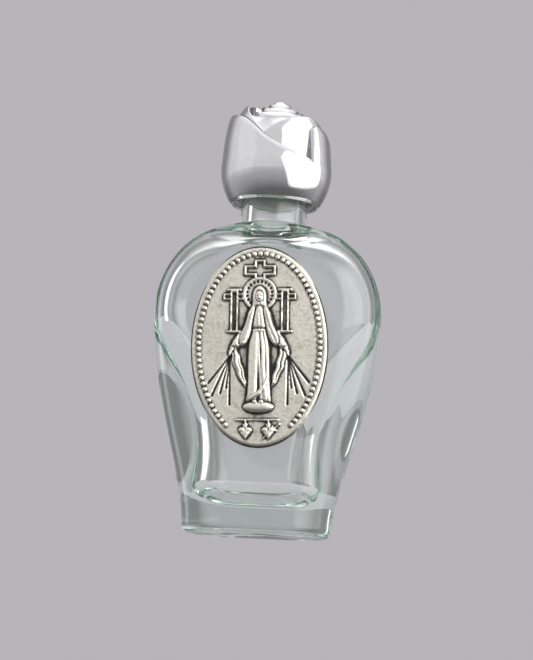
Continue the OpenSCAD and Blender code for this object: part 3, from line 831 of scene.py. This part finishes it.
def limb_d(x, y, points, radii):
    """Distance to a jointed limb as a share of its radius there."""
    best = np.full(x.shape, 9.0)
    for (ax, ay), (bx, by), ra, rb in zip(points, points[1:], radii, radii[1:]):
        dx, dy = bx - ax, by - ay
        t = np.clip(((x - ax) * dx + (y - ay) * dy) / (dx * dx + dy * dy), 0.0, 1.0)
        best = np.minimum(best, np.hypot(x - ax - t * dx, y - ay - t * dy) / (ra + (rb - ra) * t))
    return best


def bar_d(x, y, middle, half):
    """Signed distance to an upright bar, negative inside."""
    return np.maximum(np.abs(x - middle[0]) - half[0], np.abs(y - middle[1]) - half[1])


def drape(x, y, stations):
    """Place across a draped form as a share of its half-width, and its height, from its stations up the figure."""
    ys, centre, half, height = (np.array(column) for column in zip(*stations))
    inside = (y >= ys[0]) & (y <= ys[-1])
    across = (x - np.interp(y, ys, centre)) / np.interp(y, ys, half)
    return np.where(inside, across, 9.0), np.interp(y, ys, height)


def outlined(d, width, height, floor):
    """A shape drawn by a raised line along the inside of its edge."""
    line = 1 - rise(width * 0.35, width * 0.62, np.abs(d + width / 2))
    return np.where(d < 0, floor, 0.0) * rise(0.0, 0.12, -d) + line * (height - np.where(d < 0, floor, 0.0))


# Height up the medal, middle, half-width and relief of each draped form
ROBE = ((-9.6, 0, 2.1, 0.35), (-9.1, 0, 2.1, 0.64), (-8.2, 0.05, 1.95, 0.78), (-6, 0.05, 1.86, 0.82),
        (-3, 0, 1.82, 0.86), (0, 0, 1.74, 0.88), (1.6, 0, 1.5, 0.84), (2.6, 0, 1.22, 0.76), (3.6, 0, 1.42, 0.86),
        (4.8, 0, 1.3, 0.86), (5.7, 0, 1.0, 0.76), (6.4, 0, 0.6, 0.66), (6.9, 0, 0.4, 0.6))
VEIL = ((5.0, 0, 1.9, 0.5), (5.8, 0, 1.7, 0.66), (6.6, 0, 1.36, 0.74), (7.4, 0, 1.18, 0.8), (8.4, 0, 1.2, 0.9),
        (9.2, 0, 1.1, 0.88), (9.8, 0, 0.8, 0.78), (10.2, 0, 0.3, 0.6))
CAPE = ((0.0, 2.95, 0.2, 0.4), (0.4, 2.85, 0.66, 0.62), (1.4, 2.5, 0.92, 0.76), (2.6, 2.05, 0.84, 0.84),
        (3.6, 1.74, 0.68, 0.88), (4.6, 1.52, 0.62, 0.9), (5.6, 1.32, 0.6, 0.88), (6.3, 1.12, 0.44, 0.8),
        (6.8, 1.0, 0.2, 0.62))
HEM = ((-7.0, 2.15, 0.14, 0.36), (-6.3, 2.45, 0.44, 0.52), (-5.0, 2.95, 0.6, 0.58), (-3.6, 3.48, 0.68, 0.62),
       (-2.4, 3.84, 0.7, 0.66), (-1.2, 4.06, 0.6, 0.66), (-0.3, 4.1, 0.42, 0.6), (0.3, 4.0, 0.2, 0.5))
LINING = ((-6.9, 2.2, 0.12, 0.06), (-6.2, 2.4, 0.45, 0.1), (-4, 2.9, 0.95, 0.12), (-2, 3.1, 1.25, 0.13),
          (0, 3.0, 1.3, 0.13), (1, 2.8, 1.0, 0.13))
# Place across the skirt, half-width, height and drift down the skirt of each long fold, and the cloth between them
FOLDS = ((-0.92, 0.2, 0.74, -0.02), (-0.47, 0.44, 1.0, -0.05), (0.08, 0.17, 0.84, 0.10), (0.42, 0.22, 0.93, 0.07),
         (0.80, 0.24, 0.80, 0.03))
FOLD_FLOOR = 0.4
# Middle and half-width of the face, and of the opening of the veil round it
FACE, OPENING = ((0.0, 8.38), (0.68, 0.96)), ((0.0, 8.42), (0.86, 1.18))
# Middle and radius of the halo, and count and distance out of its pits
HALO, HALO_R, PITS, PIT_OUT = (0.0, 8.9), 2.9, 20, 2.12
HEARTS = ((-2.15, -14.5), (1.75, -14.5))
# Where the rays leave the hand and where each ends
HAND, RAYS = (-4.95, -1.7), ((-8.5, -6.2), (-7.9, -8.4), (-6.5, -8.0), (-5.5, -7.1), (-4.9, -9.9))
# Distance of the beads from the medal's edge, their radius and count, and the part of the border that they fill
BEAD_INSET, BEAD_R, BEADS, BEADED = 1.35, 0.42, 71, (0.075, 0.925)
# Points of the worked-out relief for each face of the mesh, the rise of its field, and fall and width of its edge
FINE, FIELD_RISE, EDGE_FALL, EDGE_W = 2, 0.10, 0.38, 0.55
# Rounds of softening that give the level round a hollow, depth with no patina, further depth to full patina, and weight
PATINA = ((7, 0.0, 0.045, 0.9), (50, 0.02, 0.14, 0.55), (220, 0.03, 0.2, 0.4))
EDGE_PATINA = 0.1
# Gap on both sides of the glue, its distance in from the medal's edge, and its rounded edge
GLUE_GAP, GLUE_INSET, GLUE_ROUND = 0.00001, 0.0009, 0.00008


def pleats(u):
    """Rounded folds with sharp valleys between them."""
    return np.abs(np.cos(math.pi * u)) ** 0.7


def laid(h, d, form, seam):
    """A form laid over what is there, with a seam sunk along its edge."""
    around = np.where(h > 0, np.maximum(h - seam * (1 - rise(1.0, 1.3, d)), 0.0), h)
    return np.where(d < 1, np.maximum(form, 0.04), around)


def figure_relief(x, y):
    """Height of the robed figure on its globe as a share of its relief."""
    side = np.abs(x)
    right = np.where(x > 0, 0.37, 0.0)  # sets the folds of the two sides apart
    globe = oval_d(x, y, (0.0, -10.35), (2.6, 0.95))
    h = laid(np.zeros(x.shape), globe, 0.76 * bulge(globe) ** 0.7, 0.0)
    across, tall = drape(side, y, LINING)
    fold = 0.5 + 0.5 * pleats(across * 1.1 + 0.05 * y + right)
    h = laid(h, np.abs(across), tall * bulge(across) ** 0.4 * fold, 0.0)
    across, tall = drape(side + 0.09 * np.sin(2.7 * y + 7 * right), y, HEM)
    fold = 0.42 + 0.58 * pleats(across * 0.85 + 0.3 + 0.1 * y + right)
    h = laid(h, np.abs(across), tall * bulge(across) ** 0.35 * fold, 0.1)
    arm = limb_d(side, y, [(2.7, 1.7), (3.6, 0.7), (4.45, -0.4)], [0.95, 0.82, 0.52])
    crease = 0.14 * (1 - pleats(0.75 * (y - 0.8 * side) + right)) * rise(0.0, 0.4, arm)
    h = laid(h, arm, 0.78 * bulge(arm) ** 0.7 - crease, 0.2)
    hand = limb_d(side, y, [(4.45, -0.4), (4.8, -0.95), (4.98, -1.6)], [0.36, 0.36, 0.2])
    h = laid(h, hand, 0.62 * bulge(hand), 0.1)
    across, tall = drape(x, y, VEIL)
    fold = 0.86 + 0.14 * pleats(across * 2.0 + 0.06 * y)
    h = laid(h, np.abs(across), tall * bulge(across) ** 0.5 * fold, 0.2)
    across, tall = drape(x, y, ROBE)
    skirt = np.full(x.shape, FOLD_FLOOR)
    for place, half, height, drift in FOLDS:
        middle = place + drift * (y + 3.0) / -3.0 + 0.03 * np.sin(0.9 * y + 5 * place)
        swell = bulge(np.abs(across - middle) / half) ** 0.8
        skirt = np.maximum(skirt, FOLD_FLOOR + (height - FOLD_FLOOR) * swell)
    bodice = 0.86 + 0.14 * pleats(across * 2.3 + 0.1 * (y - 3.0))
    robe = tall * bulge(across) ** 0.4 * (skirt + (bodice - skirt) * rise(1.9, 2.9, y))
    robe = robe - 0.20 * np.exp(-((y - 2.95) / 0.14) ** 2) + 0.08 * np.exp(-((y - 2.6) / 0.18) ** 2)
    sweep = limb_d(x, y, [(1.5, -5.6), (0.9, -7.0), (-0.1, -8.2), (-1.6, -9.1)], [0.12, 0.34, 0.36, 0.2])
    robe = np.where(sweep < 1, np.maximum(robe, 0.52 + 0.32 * bulge(sweep)), robe)
    h = laid(h, np.abs(across), robe, 0.3)
    for foot_x in (-0.6, 0.45):
        foot = oval_d(x, y, (foot_x, -9.5), (0.42, 0.3))
        h = laid(h, foot, 0.62 + 0.16 * bulge(foot), 0.14)
    across, tall = drape(side, y, CAPE)
    fold = 0.78 + 0.22 * pleats(across * 0.9 + 0.07 * y + right)
    h = laid(h, np.abs(across), tall * bulge(across) ** 0.5 * fold, 0.2)
    opening = oval_d(x, y, *OPENING)
    h = np.where(opening < 1, np.minimum(h, 0.58 + 0.24 * rise(0.82, 1.0, opening)), h)
    face = oval_d(x, y, *FACE)
    profile = 0.68 + 0.26 * bulge(face)
    eyes = np.exp(-(((side - 0.27) / 0.15) ** 2 + ((y - 8.42) / 0.10) ** 2))
    brow = np.exp(-(((side - 0.26) / 0.22) ** 2 + ((y - 8.66) / 0.08) ** 2))
    nose = np.exp(-(x / 0.11) ** 2) * rise(8.62, 8.2, y) * (1 - rise(8.12, 8.02, y))
    mouth = np.exp(-((x / 0.22) ** 2 + ((y - 7.86) / 0.07) ** 2))
    profile = profile - 0.16 * eyes + 0.04 * brow + 0.13 * nose - 0.10 * mouth
    return np.where(face < 1, np.maximum(profile, 0.6), h)


def ornament_relief(x, y):
    """Height of the flat ornaments as a share of theirs, below zero where the field is cut."""
    h = np.zeros(x.shape)
    side = np.abs(x)
    rail = bar_d(side, y, (4.4, 8.45), (1.75, 0.52))
    h = np.maximum(h, outlined(rail, 0.26, 1.0, -0.6))
    column = bar_d(side, y, (4.3, 5.9), (0.62, 3.55))
    h = np.where(column < 0, outlined(column, 0.27, 1.0, -0.6), h)
    plinth = bar_d(side, y, (4.3, 2.45), (1.3, 0.17))
    capital = bar_d(side, y, (4.3, 9.62), (1.2, 0.17))
    h = np.maximum(h, 1 - rise(-0.06, 0.06, np.minimum(plinth, capital)))
    cross = np.minimum(bar_d(x, y, (0.0, 12.95), (2.65, 0.84)), bar_d(x, y, (0.0, 13.1), (0.9, 1.65)))
    h = np.where(cross < 0.1, outlined(cross, 0.36, 1.0, -0.8), h)
    away = np.hypot(x - HALO[0], y - HALO[1])
    h = np.where(away < HALO_R, 0.45 + 0.55 * rise(2.42, 2.52, away) * (1 - rise(2.76, 2.88, away)), h)
    for i in range(PITS):
        a = 2 * math.pi * (i + 0.5) / PITS
        pit = np.hypot(x - HALO[0] - PIT_OUT * math.cos(a), y - HALO[1] - PIT_OUT * math.sin(a))
        h = np.where(away < HALO_R, np.minimum(h, -0.6 + 1.3 * rise(0.16, 0.31, pit)), h)
    line = bar_d(x, y, (-0.25, -12.55), (3.7, 0.1))
    h = np.maximum(h, 0.7 * (1 - rise(-0.04, 0.08, line)))
    for heart_x, heart_y in HEARTS:
        u, v = (x - heart_x), (y - heart_y)
        lobes = np.hypot(np.abs(u) - 0.52, v - 0.1) / 0.66
        point = (np.abs(u) * 0.86 - (v + 1.45) * 0.62) / 0.62
        body = np.where(v > 0.05, lobes, np.clip(np.maximum(0.15 + np.abs(u) / 1.2, 1 + point), 0.0, 2.0))
        h = np.maximum(h, 1.55 * bulge(np.minimum(body, 1.0)) ** 0.8)
        flame = limb_d(u, v, [(0.0, 0.7), (0.06, 1.2), (-0.04, 1.85)], [0.3, 0.26, 0.06])
        side_flame = limb_d(np.abs(u), v, [(0.16, 0.75), (0.34, 1.25)], [0.16, 0.06])
        h = np.maximum(h, 1.1 * bulge(np.minimum(flame, side_flame)))
    blade = limb_d(x, y, [(0.6, -15.85), (2.9, -13.87)], [0.06, 0.12])
    hilt = limb_d(x, y, [(2.4, -13.6), (3.1, -14.4)], [0.13, 0.13])
    grip = limb_d(x, y, [(2.75, -14.0), (3.45, -13.4), (3.6, -13.27)], [0.12, 0.12, 0.24])
    h = np.maximum(h, 0.9 * bulge(np.minimum(np.minimum(blade, hilt), grip)))
    for end in RAYS:
        groove = limb_d(-side, y, [HAND, end], [0.14, 0.2])
        h = np.where(h < 0.1, np.minimum(h, -1.1 * (1 - rise(0.2, 1.5, groove))), h)
    return h


def bead_relief(x, y, half_w, half_h):
    """Height of the beaded border, open at the bottom, as a share of the ornaments' relief."""
    h = np.zeros(x.shape)
    t = np.linspace(0.0, 2 * math.pi, 2001)
    path = np.column_stack([(half_w - BEAD_INSET) * np.sin(t), -(half_h - BEAD_INSET) * np.cos(t)])
    along = np.concatenate([[0.0], np.cumsum(np.hypot(*np.diff(path, axis=0).T))])
    for place in np.linspace(*BEADED, BEADS) * along[-1]:
        bead_x, bead_y = np.interp(place, along, path[:, 0]), np.interp(place, along, path[:, 1])
        near = (np.abs(x - bead_x) < 0.6) & (np.abs(y - bead_y) < 0.6)
        d = np.hypot(x[near] - bead_x, y[near] - bead_y) / BEAD_R
        h[near] = np.maximum(h[near], 0.95 * bulge(d))
    return h


def softened(field, times):
    for _ in range(times):
        edge = np.pad(field, 1, mode="edge")
        field = (field + edge[:-2, 1:-1] + edge[2:, 1:-1] + edge[1:-1, :-2] + edge[1:-1, 2:]) / 5
    return field


def medal_relief(s):
    """Place across and up the medal of each point of its mesh, and the height of its relief, in millimetres."""
    half_w, half_h = s.width / 2 / MM, s.height / 2 / MM
    u, v = np.meshgrid(np.linspace(-1, 1, FINE * s.columns + 1), np.linspace(-1, 1, FINE * s.rows + 1))
    x, y = half_w * u * np.sqrt(1 - v * v / 2), half_h * v * np.sqrt(1 - u * u / 2)
    out = np.hypot(x / half_w, y / half_h)
    inset = (1 - out) * half_w
    field = FIELD_RISE * (1 - out ** 2) - EDGE_FALL * (1 - rise(0.0, EDGE_W, inset)) ** 2
    ornament, beads, figure = ornament_relief(x, y), bead_relief(x, y, half_w, half_h), figure_relief(x, y)
    ornament = np.where(beads > 0, np.maximum(ornament, beads), ornament)
    relief = field + s.ornament_h / MM * ornament
    tallest = s.figure_h / MM - FIELD_RISE
    relief = np.maximum(relief, np.where(figure > 0, tallest * figure, -9.0))
    relief = np.where(oval_d(x, y, *FACE) < 1.15, softened(relief, 1), softened(relief, 5))
    return [values[::FINE, ::FINE] for values in (x, y, relief)]


def wear(relief):
    """Share of patina in the hollows and of rubbing on the high places."""
    patina = 0.0
    for rounds, slack, depth, weight in PATINA:
        patina = patina + np.clip((softened(relief, rounds) - relief - slack) / depth, 0, 1) * weight
    proud = np.clip((relief - softened(relief, PATINA[0][0])) / 0.06, 0, 1)
    return softened(np.clip(patina, 0, 1), 1), np.clip(proud + 0.7 * rise(0.3, 0.65, relief), 0, 1)


class BOTTLE_OT_relief_medal(bpy.types.Operator):
    """Make the oval medal with its relief and the bed of glue behind it"""

    bl_idname = "bottle.relief_medal"
    bl_label = "Relief medal"

    def execute(self, context):
        s = settings().medal
        obj, row, column = flat_grid(s.columns, s.rows)
        x, y, relief = medal_relief(s)
        turned_x = x * math.cos(s.tilt) - y * math.sin(s.tilt)
        turned_z = s.centre_z / MM + x * math.sin(s.tilt) + y * math.cos(s.tilt)
        front = GLUE_LOW.y / MM - s.plate_t / MM - relief
        points = np.stack([turned_x, front, turned_z], axis=-1)
        set_points(obj.data, points[row, column] * MM)
        for name, values in zip(("patina", "rubbed"), wear(relief)):
            mark_points(obj.data, name, values[row, column])
        self.close_back(obj)
        tidy_piece(obj, "relief_medal", 60.0)
        finish_piece(obj, antique_silver(), "bottle", "antique_silver", "medal")
        self.glue_bed(s)
        return {"FINISHED"}

    def close_back(self, obj):
        """Draws the edge of the relief back to the glue and fills the back."""
        with editing():
            bpy.ops.mesh.region_to_loop()
            bpy.ops.mesh.extrude_edges_move(TRANSFORM_OT_translate={"value": (0.0, 0.0003, 0.0)})
        moved = np.array([vertex.select for vertex in obj.data.vertices])
        placed = points_of(obj.data)
        placed[moved, 1] = GLUE_LOW.y
        set_points(obj.data, placed)
        for vertex in np.flatnonzero(moved):
            obj.data.attributes["patina"].data[vertex].value = EDGE_PATINA
        bpy.ops.object.mode_set(mode="EDIT")
        bpy.ops.mesh.edge_face_add()
        bpy.ops.object.mode_set(mode="OBJECT")

    def glue_bed(self, s):
        start_piece()
        upright = (math.pi / 2, 0.0, 0.0)
        bpy.ops.mesh.primitive_cylinder_add(vertices=128, radius=1.0, depth=GLUE_HIGH.y - GLUE_LOW.y - 2 * GLUE_GAP,
                                            location=(GLUE_LOW + GLUE_HIGH) / 2, rotation=upright)
        bed = bpy.context.object
        bed.rotation_euler = (Matrix.Rotation(-s.tilt, 3, "Y") @ Matrix.Rotation(math.pi / 2, 3, "X")).to_euler()
        bed.scale = (s.width / 2 - GLUE_INSET, s.height / 2 - GLUE_INSET, 1.0)
        bpy.ops.object.transform_apply(location=True, rotation=True, scale=True)
        with editing():
            bpy.ops.mesh.bevel(offset=GLUE_ROUND, segments=3, affect="EDGES", clamp_overlap=True)
        tidy_piece(bed, "glue_bed", 40.0)
        finish_piece(bed, clear_glue(), "bottle", "clear_glue", "medal_adhesive")


# Stage

# Place, size, radiance, turn and softness of each light, and the object that it is kept off or lights alone
LIGHTS = {
    "key": ((0.41, -0.19, 0.13), (0.90, 0.78), 1.9, 20.0, 0.15, "studio_floor", "EXCLUDE"),
    "fill": ((-0.46, -0.22, 0.20), (0.50, 0.60), 0.07, 0.0, 0.15, "", ""),
    "top": ((0.02, 0.10, 0.50), (0.5, 0.4), 0.45, 0.0, 0.15, "", ""),
    "glint": ((0.14, -0.36, 0.26), (0.26, 0.22), 0.9, 0.0, 0.15, "relief_medal", "INCLUDE"),
    "strip": ((-0.35, 0.12, 0.06), (0.14, 0.60), 1.6, 0.0, 0.25, "flask", "INCLUDE"),
}
TARGET = (0.0, 0.0, 0.045)
# Way from the camera to the backdrop, the backdrop's colour, and the room's greys from its floor to its ceiling
BEHIND, BACKDROP = (-0.12, 0.979, 0.165), (0.475, 0.455, 0.490)
GREYS = ((0.0, 0.10), (0.17, 0.13), (0.30, 0.30), (0.42, 0.40), (0.485, 0.50), (0.505, 0.62), (0.78, 0.69), (0.9, 0.9),
         (1.0, 1.0))
# Length of a pixel at the bottle, and the pixel where the middle of its base lies
PIXEL, BASE_PIXEL = 0.1702 * MM, (255.5, 535.3)
# Camera's distance and its azimuth, elevation and roll in degrees, and the width of its sensor in millimetres
DISTANCE, VIEW, SENSOR = 0.42, (7.0, -9.5, 3.3), 36.0
BOUNCES = 32
FLOOR_W, FLOOR_Z = 16.0, -0.0001


class BOTTLE_OT_studio(bpy.types.Operator):
    """Set the pale floor, the soft lights and the camera at the photograph's angle"""

    bl_idname = "bottle.studio"
    bl_label = "Studio"

    def execute(self, context):
        self.floor()
        self.world()
        for name, (place, size, radiance, turn, soft, linked, state) in LIGHTS.items():
            light = self.softbox(name, place, size, radiance, turn, soft)
            if linked:
                self.link(light, bpy.data.objects[linked], state)
        bpy.context.scene.view_settings.view_transform = "Standard"
        for bounces in ("max_bounces", "transmission_bounces", "glossy_bounces"):
            setattr(bpy.context.scene.cycles, bounces, BOUNCES)
        self.camera()
        return {"FINISHED"}

    def floor(self):
        start_piece()
        bpy.ops.mesh.primitive_plane_add(size=FLOOR_W, location=(0.0, 0.0, FLOOR_Z))
        floor = bpy.context.object
        floor.name = "studio_floor"
        floor.data.materials.append(studio_floor())
        floor.visible_diffuse = False
        floor.visible_glossy = False
        floor.visible_shadow = False

    def world(self):
        """Even behind the bottle, dim in a ring round that, and before it lighter above the table than below."""
        paint = Paint(bpy.data.worlds.new("studio"), "ShaderNodeOutputWorld")
        way = paint.add("ShaderNodeTexCoord", output="Generated")
        deep = paint.add("ShaderNodeVectorMath", {"operation": "DOT_PRODUCT"}, {0: way, 1: BEHIND}, "Value")
        across = paint.part(way, "X")
        beside = paint.span(across * across, 0.0, 0.36)
        stops = [(place, (grey, grey * 0.985, grey)) for place, grey in GREYS]
        front = paint.add("ShaderNodeValToRGB", {"stops": stops}, {0: paint.part(way, "Z") * 0.5 + 0.5})
        ring = paint.mix(paint.span(deep + beside * 0.2, 0.58, 0.9) * 0.62, front, (0.0, 0.0, 0.0, 1.0))
        shade = paint.mix(paint.span(deep, 0.91, 0.975), ring, rgba(BACKDROP))
        bpy.context.scene.world = paint.surface(paint.add("ShaderNodeBackground", None, {0: shade}))

    def softbox(self, name, place, size, radiance, turn, soft):
        """A rectangular light that fades towards its edges."""
        data = bpy.data.lights.new(name, "AREA")
        data.shape = "RECTANGLE"
        data.size, data.size_y = size
        data.energy = radiance * math.pi * size[0] * size[1]
        paint = Paint(data, "ShaderNodeOutputLight")
        spot = paint.add("ShaderNodeNewGeometry", None, None, "Parametric")
        fade = 1.0
        for axis in "XY":
            along = paint.part(spot, axis)
            fade = paint.span(along * (1 - along), 0.0, soft) * fade
        paint.surface(paint.add("ShaderNodeEmission", None, {"Strength": fade}))
        light = bpy.data.objects.new(name, data)
        bpy.context.scene.collection.objects.link(light)
        light.location = place
        aim = (Vector(TARGET) - Vector(place)).to_track_quat("-Z", "Y").to_matrix()
        light.rotation_euler = (aim @ Matrix.Rotation(math.radians(turn), 3, "Z")).to_euler()
        return light

    def link(self, light, obj, state):
        """Keeps a light off one object, or on that object alone."""
        linked = bpy.data.collections.new(light.name + "_link")
        linked.objects.link(obj)
        light.light_linking.receiver_collection = linked
        linked.collection_objects[0].light_linking.link_state = state

    def camera(self):
        azimuth, elevation, roll = (math.radians(angle) for angle in VIEW)
        back = Vector((math.sin(azimuth) * math.cos(elevation), -math.cos(azimuth) * math.cos(elevation),
                       math.sin(elevation)))
        level = Vector((math.cos(azimuth), math.sin(azimuth), 0.0))
        rising = back.cross(level)
        right = level * math.cos(roll) + rising * math.sin(roll)
        up = rising * math.cos(roll) - level * math.sin(roll)
        aim = right * (PHOTO_SIZE[0] / 2 - BASE_PIXEL[0]) * PIXEL + up * (BASE_PIXEL[1] - PHOTO_SIZE[1] / 2) * PIXEL
        data = bpy.data.cameras.new("photo_view")
        data.sensor_width = SENSOR
        data.lens = SENSOR * DISTANCE / (PHOTO_SIZE[1] * PIXEL)
        data.clip_start, data.clip_end = 0.01, 30.0
        camera = bpy.data.objects.new("photo_view", data)
        bpy.context.scene.collection.objects.link(camera)
        turn = Matrix((right, up, back)).transposed().to_4x4()
        camera.matrix_world = Matrix.Translation(aim + back * DISTANCE) @ turn
        bpy.context.scene.camera = camera


class BOTTLE_PT_panel(bpy.types.Panel):
    """Sizes, finishes and pieces of the bottle"""

    bl_idname = "BOTTLE_PT_panel"
    bl_label = "Holy Water Bottle"
    bl_space_type = "VIEW_3D"
    bl_region_type = "UI"
    bl_category = "Bottle"

    def draw(self, context):
        for group in ("flask", "cap", "medal", "finish"):
            box = self.layout.box()
            box.label(text=group.capitalize())
            values = getattr(settings(), group)
            for name in values.__annotations__:
                box.prop(values, name)
        for operator in OPERATORS:
            self.layout.operator(operator.bl_idname)


OPERATORS = (
    BOTTLE_OT_glass_flask,
    BOTTLE_OT_rose_cap,
    BOTTLE_OT_inner_cap,
    BOTTLE_OT_relief_medal,
    BOTTLE_OT_studio,
)
CLASSES = (FlaskSizes, CapSizes, MedalSizes, Finishes, BottleSettings, *OPERATORS, BOTTLE_PT_panel)


def register():
    for cls in CLASSES:
        bpy.utils.register_class(cls)
    bpy.types.Scene.holy_water_bottle = PointerProperty(type=BottleSettings)


def unregister():
    del bpy.types.Scene.holy_water_bottle
    for cls in reversed(CLASSES):
        bpy.utils.unregister_class(cls)


def main():
    register()
    bpy.ops.bottle.glass_flask()
    bpy.ops.bottle.rose_cap()
    bpy.ops.bottle.inner_cap()
    bpy.ops.bottle.relief_medal()
    bpy.ops.bottle.studio()


if __name__ == "__main__":
    main()
